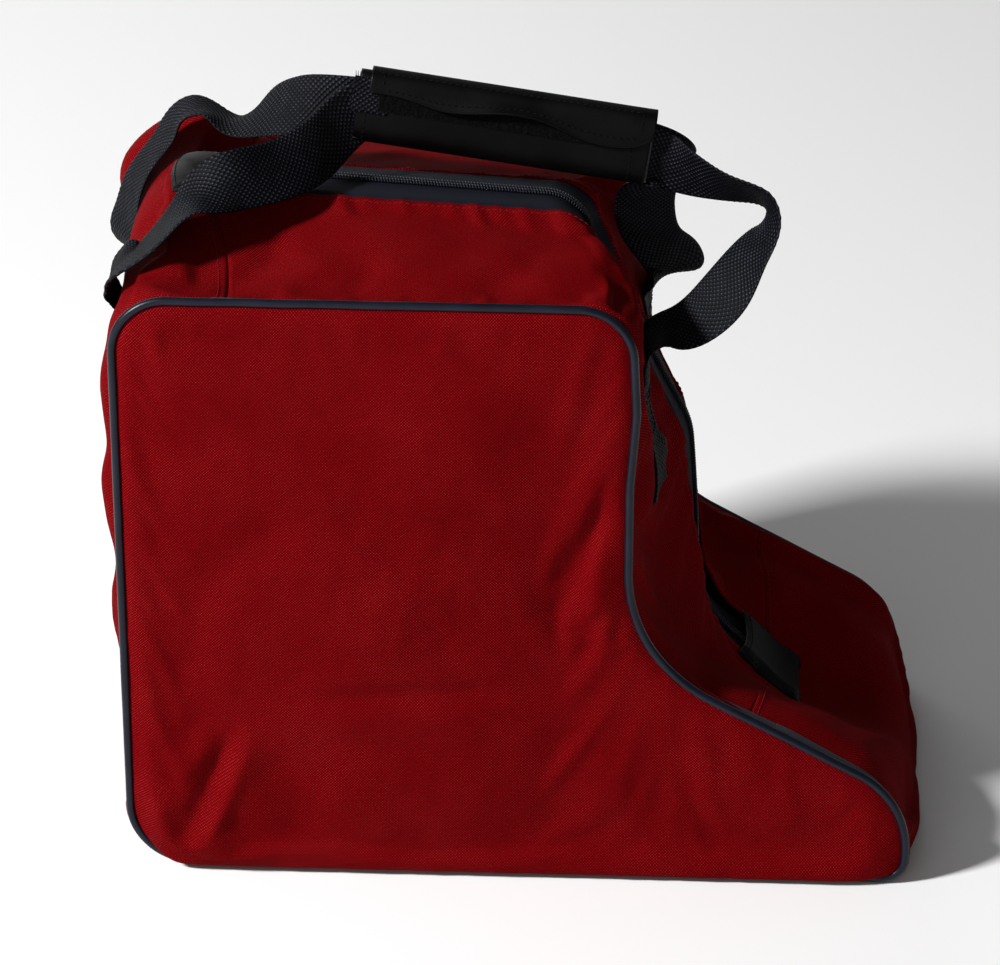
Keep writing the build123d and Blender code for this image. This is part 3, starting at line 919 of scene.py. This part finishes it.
# ---------------------------------------------------------------- straps
WEB_WIDTH = 31.0
WEB_HALF = 0.85
GRIP_BACK = np.array([-87.0, 0, 380])
GRIP_FRONT = np.array([61.0, 0, 358.5])
GRIP_ALONG = unit(GRIP_FRONT - GRIP_BACK)
GRIP_UP = np.array([-GRIP_ALONG[2], 0, GRIP_ALONG[0]])
GRIP_MID = (GRIP_BACK + GRIP_FRONT) / 2
GRIP_HALF = float(np.linalg.norm(GRIP_FRONT - GRIP_BACK)) / 2


def sewn_rows(front):
    """Rows of the gusset's grid among which a strap's tail is sewn."""
    if front:
        return np.arange(sum(STRETCH_POINTS[:2]) + 30, sum(STRETCH_POINTS[:5]) + 10)
    return np.arange(STRETCH_POINTS[0] - 20, STRETCH_POINTS[0] + 60)


def sewn_surface(y_values, front, lift):
    """Function that gives a row of points on the gusset at a height, one for each width."""
    order = np.argsort(y_values)
    points, normals = gusset_points(sewn_rows(front), y_values[order])
    points = points + normals * lift
    columns = [column[np.argsort(column[:, 2])] for column in points.swapaxes(0, 1)]
    back = np.argsort(order)

    def row(z):
        return np.array([interpolate(z, column[:, 2], column) for column in columns])[back]

    return row


def surface_point(z, y, front):
    """Point just off the gusset's front or back at a height."""
    points, normals = gusset_points(sewn_rows(front), np.array([y - 0.5, y + 0.5]))
    best = int(np.argmin(np.abs(points[:, 0, 2] - z)))
    return points[best, 0] + normals[best, 0] * 1.2


def ribbon(name, centres, widths, sewn):
    """Webbing ribbon through stations of centre and width direction, with its weave raised."""
    centres = np.asarray(centres, float)
    chord = distances(centres)
    weights = spline_weights(chord, np.arange(0, chord[-1], 0.75))
    path = weights @ centres
    wide = unit(weights @ unit(widths))
    tangent = unit(np.gradient(path, axis=0))
    wide = unit(wide - np.sum(wide * tangent, 1, keepdims=True) * tangent)
    face = np.cross(tangent, wide)
    length = distances(path)
    across = np.linspace(-1, 1, 41)
    y_values = across * (WEB_WIDTH / 2)
    weave_u = np.sin(length * 2 * math.pi / WEAVE_ALONG)[:, None]
    weave_v = np.sin(across * WEB_WIDTH / 2 * 2 * math.pi / WEAVE_ACROSS)[None, :]
    relief = 0.22 * weave_u * weave_v
    thick = WEB_HALF * np.sqrt(np.clip(1 - np.abs(across) ** 14, 0.04, 1))
    flat = path[:, None] + wide[:, None] * y_values[None, :, None]
    sewn_top, sewn_y, sewn_way, sewn_front = sewn
    row_at = sewn_surface(sewn_y + y_values * sewn_way, sewn_front, WEB_HALF + 0.25)
    for i in range(len(path)):
        if path[i, 2] > sewn_top + 8 or length[i] > 100:
            break
        share = np.clip((sewn_top + 8 - path[i, 2]) / 12, 0, 1)
        share = share * share * (3 - 2 * share)
        flat[i] = flat[i] * (1 - share) + row_at(path[i, 2]) * share
    top = flat + face[:, None] * (thick[None, :] + relief)[..., None]
    bottom = flat - face[:, None] * (thick[None, :] - relief)[..., None]
    loop = np.concatenate([top, bottom[:, ::-1]], 1)
    rows, columns = loop.shape[:2]
    faces = grid_faces(rows, columns, wrap_columns=True, flip=True).tolist()
    faces.append(list(range(columns)))
    last = (rows - 1) * columns
    faces.append([last + columns - 1 - i for i in range(columns)])
    uv = grid_uv(length, np.concatenate([y_values, y_values[::-1]]))
    side, end = name.split("_")
    piece = make_object(f"webbing_{name}", loop, faces, WEBBING, uv, None,
                        [f"strap_{side}_{end}_end", f"strap_{side}_{end}_run"])
    return piece, path, wide, face, flat


def strap_stations(tail, free, front, side):
    """Centres and width directions: the sewn tail, the free loop, then into the grip."""
    low, high, y, sewn_width = tail
    centres = []
    widths = []
    for z in np.linspace(low, high, 5):
        centres.append(surface_point(z, y, front))
        ends = [surface_point(z, y + 12 * way, front) for way in (-1, 1)]
        widths.append(unit(ends[1] - ends[0]) * sewn_width)
    for centre, width in free:
        centres.append(np.array(centre, float))
        widths.append(np.array(width, float))
    end = GRIP_FRONT if front else GRIP_BACK
    inward = -GRIP_ALONG if front else GRIP_ALONG
    for reach in (4, 30, 60):
        centres.append(end + inward * reach + np.array([0, 1.3 * side, -1.5]))
        widths.append(GRIP_UP * (1 if free[-1][1][2] > 0 else -1))
    return centres, widths


# Free loops: (centre, width direction) from the sewn tail to the grip
NEAR_FRONT_LOOP = [
    ((67, -54, 281), (0.05, -1, -0.15)),
    ((77, -51, 283), (0.2, -0.9, -0.35)),
    ((89, -50, 290), (0.4, -0.8, -0.48)),
    ((101, -47, 303), (0.48, -0.74, -0.46)),
    ((112, -42, 320), (0.45, -0.88, -0.1)),
    ((121, -35, 335), (0.3, -0.9, 0.3)),
    ((120, -29, 342), (0.1, -0.85, 0.5)),
    ((105, -20, 346), (-0.09, -0.72, 0.7)),
    ((87, -10, 348), (-0.05, -0.45, 0.89)),
    ((73, -3, 351), (0, -0.15, 1)),
]
FAR_FRONT_LOOP = [
    ((65, 50, 267), (0.25, 0.95, 0)),
    ((74, 46, 274), (0.8, 0.55, -0.28)),
    ((71, 41, 284), (0.93, 0.3, -0.2)),
    ((62, 33, 298), (1, 0.1, -0.1)),
    ((58, 22, 318), (1, 0.1, 0)),
    ((62, 13, 334), (0.95, 0.2, 0.2)),
    ((72, 6, 346), (0.6, 0.2, 0.8)),
]
NEAR_BACK_LOOP = [
    ((-207.5, -52, 302), (0.02, -1, 0)),
    ((-204, -58, 312), (0.1, -1, 0.1)),
    ((-198, -68, 320), (0.2, -0.95, 0.22)),
    ((-188, -70, 328), (0.2, -0.95, 0.15)),
    ((-177, -63, 338), (0.12, -1, 0)),
    ((-167, -56, 347), (0.12, -0.96, -0.2)),
    ((-156, -51, 353), (0.2, -0.75, -0.6)),
    ((-144, -46, 356), (0.35, -0.45, -0.82)),
    ((-130, -37, 356), (0.5, -0.35, -0.8)),
    ((-117, -26, 357), (0.55, -0.3, -0.78)),
    ((-106, -15, 361), (0.35, -0.2, -0.9)),
    ((-97, -6, 368), (0.12, -0.1, -1)),
]
FAR_BACK_LOOP = [
    ((-214, 50, 283), (-0.55, 0.83, -0.12)),
    ((-213, 49, 295), (-0.5, 0.85, -0.1)),
    ((-210, 48, 309), (-0.4, 0.92, 0)),
    ((-204, 47, 323), (-0.3, 0.95, 0)),
    ((-195, 46, 337), (-0.25, 0.96, 0)),
    ((-187, 45, 349), (-0.3, 0.95, 0)),
    ((-177, 42, 358.5), (-0.1, 1, 0)),
    ((-166, 38, 359.5), (0, 0.98, -0.15)),
    ((-155, 32, 357.5), (0.05, 0.98, -0.15)),
    ((-144, 25, 361), (0.1, 0.95, 0.15)),
    ((-132, 17, 369), (0.15, 0.75, 0.6)),
    ((-118, 8, 375), (0.1, 0.5, 0.86)),
    ((-102, 3, 378), (0, 0.15, 0.99)),
]
STRAPS = {
    "near_front": ((197, 274, -57, -1), NEAR_FRONT_LOOP, True, -1),
    "far_front": ((197, 260, 50, 1), FAR_FRONT_LOOP, True, 1),
    "near_back": ((218, 290, -50, -1), NEAR_BACK_LOOP, False, -1),
    "far_back": ((215, 268, 50, 1), FAR_BACK_LOOP, False, 1),
}


def frayed_end(pile, centre, width, along, normal, seed):
    """Loose threads at a cut webbing end."""
    rng = np.random.default_rng(seed)
    for place in np.linspace(-0.95, 0.95, 26):
        start = centre + width * (place * WEB_WIDTH / 2) + normal * rng.uniform(-0.4, 0.4) - along * 0.5
        reach = rng.uniform(1.5, 5.0)
        lean = width * rng.uniform(-0.35, 0.35) + normal * rng.uniform(-0.15, 0.3)
        points = [start + (along + lean * t) * reach * t for t in np.linspace(0, 1, 5)]
        pile.add(*tube(points, [0.22, 0.2, 0.18, 0.15, 0.1], 5))


# Stations and columns of the ribbon that the box of stitches spans
BOX_ROWS = (40, 76)
BOX_COLUMNS = (5, 35)
box_stitches = Pile()
frays = Pile()
for number, (label, (tail, free, front, way)) in enumerate(STRAPS.items()):
    centres, widths = strap_stations(tail, free, front, way)
    piece, path, wide, face, flat = ribbon(label, centres, widths, (*tail[1:], front))
    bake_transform(piece)
    sign = np.sign(face[10, 0] * (1 if front else -1))
    frayed_end(frays, path[0], wide[0], unit(path[0] - path[3]), face[0] * sign, 90 + number)
    outer = flat + face[:, None] * (sign * (WEB_HALF + 0.1))
    span = slice(*BOX_ROWS)
    for column in BOX_COLUMNS:
        stitch_row(box_stitches, outer[span, column], face[span] * sign)
    low, high = BOX_ROWS[0], BOX_ROWS[1] - 1
    for first, last in ((low, low), (high, high), (low, high), (high, low)):
        rows = np.linspace(first, last, 12).round().astype(int)
        columns = np.linspace(*BOX_COLUMNS, 12).round().astype(int)
        stitch_row(box_stitches, outer[rows, columns], face[rows] * sign)
frays.build("strap_frays", DARK_THREAD)
box_stitches.build("strap_box_stitches", DARK_THREAD, replaced=["strap_stitching"])


# ---------------------------------------------------------------- grip
def grip_point(a, y, h):
    """Points in the grip's own frame (along, across, up) to the bag's frame."""
    a, y, h = (v[..., None] for v in np.broadcast_arrays(*(np.asarray(v, float) for v in (a, y, h))))
    return GRIP_MID + a * GRIP_ALONG + y * np.array([0, 1.0, 0]) + h * GRIP_UP


ROLL_Y = 7.0
ROLL_H = 18.8
roll_a = np.linspace(-GRIP_HALF, GRIP_HALF - 1, 120)
angles = np.linspace(0, 2 * math.pi, 72, endpoint=False)


def roll_section(angle, grow=0.0):
    """Rounded section of the rolled wrap, fuller low down."""
    c, s = np.cos(angle), np.sin(angle)
    fullness = 1 + 0.16 * np.exp(-((s + 0.55) / 0.4) ** 2)
    y = np.sign(c) * np.abs(c) ** 0.7 * (ROLL_Y + grow) * fullness
    h = np.sign(s) * np.abs(s) ** 0.72 * (ROLL_H + grow)
    return y, h


sec_y, sec_h = roll_section(angles)
drift = 1 + 0.05 * np.sin(roll_a / 23.0)[:, None] * np.cos(angles)[None, :]
drift += 0.025 * np.sin(roll_a / 8.0 + 1)[:, None] * np.sin(angles * 2)[None, :]
pinch = (1 - 0.12 * bell(roll_a + GRIP_HALF, 5) - 0.10 * bell(GRIP_HALF - roll_a, 6))[:, None]
outer_roll = grip_point(roll_a[:, None], sec_y * drift * pinch, sec_h)
in_y, in_h = roll_section(angles, -1.5)
inner_roll = grip_point(roll_a[:, None], in_y * pinch, in_h)
rows, columns = outer_roll.shape[:2]
faces = grid_faces(rows, columns, wrap_columns=True).tolist()
offset = rows * columns
faces += (grid_faces(rows, columns, wrap_columns=True, flip=True) + offset).tolist()
for row in (0, rows - 1):
    for j in range(columns):
        a, b = row * columns + j, row * columns + (j + 1) % columns
        quad = [a, b, b + offset, a + offset]
        faces.append(quad[::-1] if row == 0 else quad)
make_object("grip_roll", [outer_roll, inner_roll], faces, VINYL, None, "handle", ["grip_wrap"])
roll_stitches = Pile()
front_low = np.where((np.cos(angles) < -0.15) & (np.sin(angles) < 0.2))[0]
for row in (4, rows - 8):
    spokes = outer_roll[row, front_low] - outer_roll[row].mean(0)
    stitch_row(roll_stitches, outer_roll[row, front_low], unit(spokes))
roll_stitches.build("grip_roll_stitches", BLACK_THREAD, "handle")

# inner ply that shows at the back end, with a frayed cut edge
ply_uv = grid_uv(np.linspace(-GRIP_HALF - 2.5, -GRIP_HALF + 16, 24), np.linspace(-1, 17.5, 24))
ply = grip_point(ply_uv[..., 0], -ROLL_Y - 0.5 + 0.04 * (ply_uv[..., 1] - 8), ply_uv[..., 1])
sheet_solid("grip_inner_ply", ply, ply_uv, 1.0, WEBBING, "handle", flip=True)
ply_frays = Pile()
ply_rng = np.random.default_rng(77)
for h in np.linspace(0, 17, 16):
    start = grip_point(-GRIP_HALF - 2.2, -ROLL_Y - 0.8, h)
    reach = -GRIP_ALONG * ply_rng.uniform(0.8, 2.4) + GRIP_UP * ply_rng.uniform(-0.8, 1.6)
    ply_frays.add(*tube([start, start + reach * 0.5, start + reach], [0.2, 0.17, 0.1], 5))
for a in np.linspace(-GRIP_HALF - 2, -GRIP_HALF + 4, 7):
    start = grip_point(a, -ROLL_Y - 0.2, 17.2)
    reach = GRIP_UP * ply_rng.uniform(1.5, 3.6) + GRIP_ALONG * ply_rng.uniform(-0.8, 0.8)
    ply_frays.add(*tube([start, start + reach * 0.5, start + reach], [0.22, 0.18, 0.1], 5))
ply_frays.build("grip_ply_frays", DARK_THREAD, "handle")

# flap: over the top from the far side, then down the near face to a wavy edge that stands off
flap_a = np.linspace(-GRIP_HALF + 5.5, GRIP_HALF + 0.5, 130)
EDGE_A = [-70, -56, -44, -32, -16, 3, 16, 28, 40, 53, 64, 70, 75]
EDGE_H = [10.8, 10.8, 9.4, 7.8, 9.6, 12.6, 11.6, 7.8, 3.6, 1.8, 2.8, 5.0, 9.0]
EDGE_Y = [-8.8, -9.2, -10.0, -11.4, -12.6, -13.0, -12.4, -11.2, -10.2, -9.4, -9.0, -8.8, -8.6]
edge_h = spline_weights(EDGE_A, flap_a) @ np.array(EDGE_H)
edge_y = spline_weights(EDGE_A, flap_a) @ np.array(EDGE_Y)
PROFILE_KNOTS = [0, 0.22, 0.42, 0.62, 1.0]
profile = np.linspace(0, 1, 44)
profile_weights = spline_weights(PROFILE_KNOTS, profile)
flap_points = np.zeros((len(flap_a), len(profile), 3))
for i, a in enumerate(flap_a):
    knots_y = np.array([4.5, 0.5, -5.5, -8.2, edge_y[i]])
    knots_h = np.array([19.6, 21.0, 19.8, 16.0 + 0.2 * (edge_h[i] - 8), edge_h[i]])
    flap_points[i] = grip_point(a, profile_weights @ knots_y, profile_weights @ knots_h)
flap_uv = grid_uv(flap_a, profile * 25)
FLAP_THICKNESS = 1.5
flap = sheet_solid("grip_flap_cover", flap_points, flap_uv, FLAP_THICKNESS, VINYL, None, ["grip_flap"])
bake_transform(flap)
flap_normals = -grid_normals(flap_points)
rim_path = flap_points[1:-1, -1] - flap_normals[1:-1, -1] * 0.75
make_object("grip_flap_rim", *tube(rim_path, 0.95, 8, up=(0, 0, 1)), VINYL, None, "flap")
flap_stitches = Pile()
down = slice(17, -6)
for place in ((slice(4, -4), 17), (slice(7, -7), -7), (6, down), (-7, down)):
    stitch_row(flap_stitches, flap_points[place], flap_normals[place], pitch=3.4, length=2.5)
flap_stitches.build("grip_flap_stitches", BLACK_THREAD, "flap")

# hook-and-loop strips with an uneven nap: one on the roll, one inside the flap
loop_uv = grid_uv(np.linspace(-64, 62, 200), np.linspace(1, 13, 20))
fuzz = np.random.default_rng(5).uniform(0, 0.7, loop_uv.shape[:2])
loop_points = grip_point(loop_uv[..., 0], -ROLL_Y - 0.9 - fuzz, loop_uv[..., 1])
sheet_solid("grip_loop_nap", loop_points, loop_uv, 1.0, NAP, "handle", ["grip_loop_strip"], flip=True)
inside = (slice(6, -6), slice(27, 38))
fuzz = np.random.default_rng(6).uniform(0, 0.5, (*flap_uv[inside].shape[:2], 1))
hook_points = flap_points[inside] - flap_normals[inside] * (FLAP_THICKNESS + 0.4 + fuzz)
sheet_solid("grip_hook_nap", hook_points, flap_uv[inside], 0.6, NAP, "flap", ["grip_hook_strip"], flip=True)


# ---------------------------------------------------------------- kept CAD pieces
for names, material in (
    (("zip_slider", "zip_pull"), ENAMEL),
    (("base_board",), BOARD),
    (("grip_foam",), FOAM),
    (("seam_binding_near", "seam_binding_far"), BINDING),
    (("strap_near_held_run", "strap_far_held_run"), WEBBING),
):
    for name in names:
        mesh = frame["nodes"][name].data
        mesh.materials.clear()
        mesh.materials.append(material)


# ---------------------------------------------------------------- floor, light, camera
def add_stage():
    """Large pale floor."""
    size = 6.0
    corners = [(-size, -size, 0), (size, -size, 0), (size, size, 0), (-size, size, 0)]
    mesh = bpy.data.meshes.new("floor")
    mesh.from_pydata(corners, [], [(0, 1, 2, 3)])
    floor = bpy.data.objects.new("floor", mesh)
    bpy.context.scene.collection.objects.link(floor)
    floor.location.z = -0.0004
    mesh.materials.append(start_material("pale_floor", Roughness=0.9, Base_Color=(0.86, 0.86, 0.86, 1))[0])
    floor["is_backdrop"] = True


def add_light(name, location, target, size, power):
    """Square area light that faces a target."""
    data = bpy.data.lights.new(name, "AREA")
    data.energy = power
    data.size = size
    light = bpy.data.objects.new(name, data)
    bpy.context.scene.collection.objects.link(light)
    light.location = location
    direction = Vector(target) - Vector(location)
    light.rotation_euler = direction.to_track_quat("-Z", "Y").to_euler()


def add_camera(azimuth, elevation, distance, target, lens):
    """Camera on a sphere round the target; azimuth 0 looks along +Y."""
    a, e = math.radians(azimuth), math.radians(elevation)
    back = Vector((math.sin(a) * math.cos(e), -math.cos(a) * math.cos(e), math.sin(e)))
    data = bpy.data.cameras.new("camera")
    data.lens = lens
    data.sensor_width = 36
    camera = bpy.data.objects.new("camera", data)
    bpy.context.scene.collection.objects.link(camera)
    camera.location = Vector(target) + back * distance
    camera.rotation_euler = (-back).to_track_quat("-Z", "Y").to_euler()
    bpy.context.scene.camera = camera


add_stage()
bpy.context.scene.view_settings.view_transform = "Standard"
world = bpy.data.worlds.new("studio")
bpy.context.scene.world = world
world.use_nodes = True
world.node_tree.nodes["Background"].inputs[0].default_value = (1, 1, 1, 1)
world.node_tree.nodes["Background"].inputs[1].default_value = 0.14
add_light("key", (-2.95, -1.75, 2.5), (-0.05, 0, 0.15), 0.5, 290)
add_light("fill", (-0.6, -2.6, 1.2), (0, 0, 0.15), 1.4, 6)
add_light("back", (-1.3, 3.0, 1.2), (0, 0, 0.15), 2.0, 24)
add_camera(3.0, 26.0, 2.3, (-0.015, 0, 0.17), 158.4)

low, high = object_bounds()
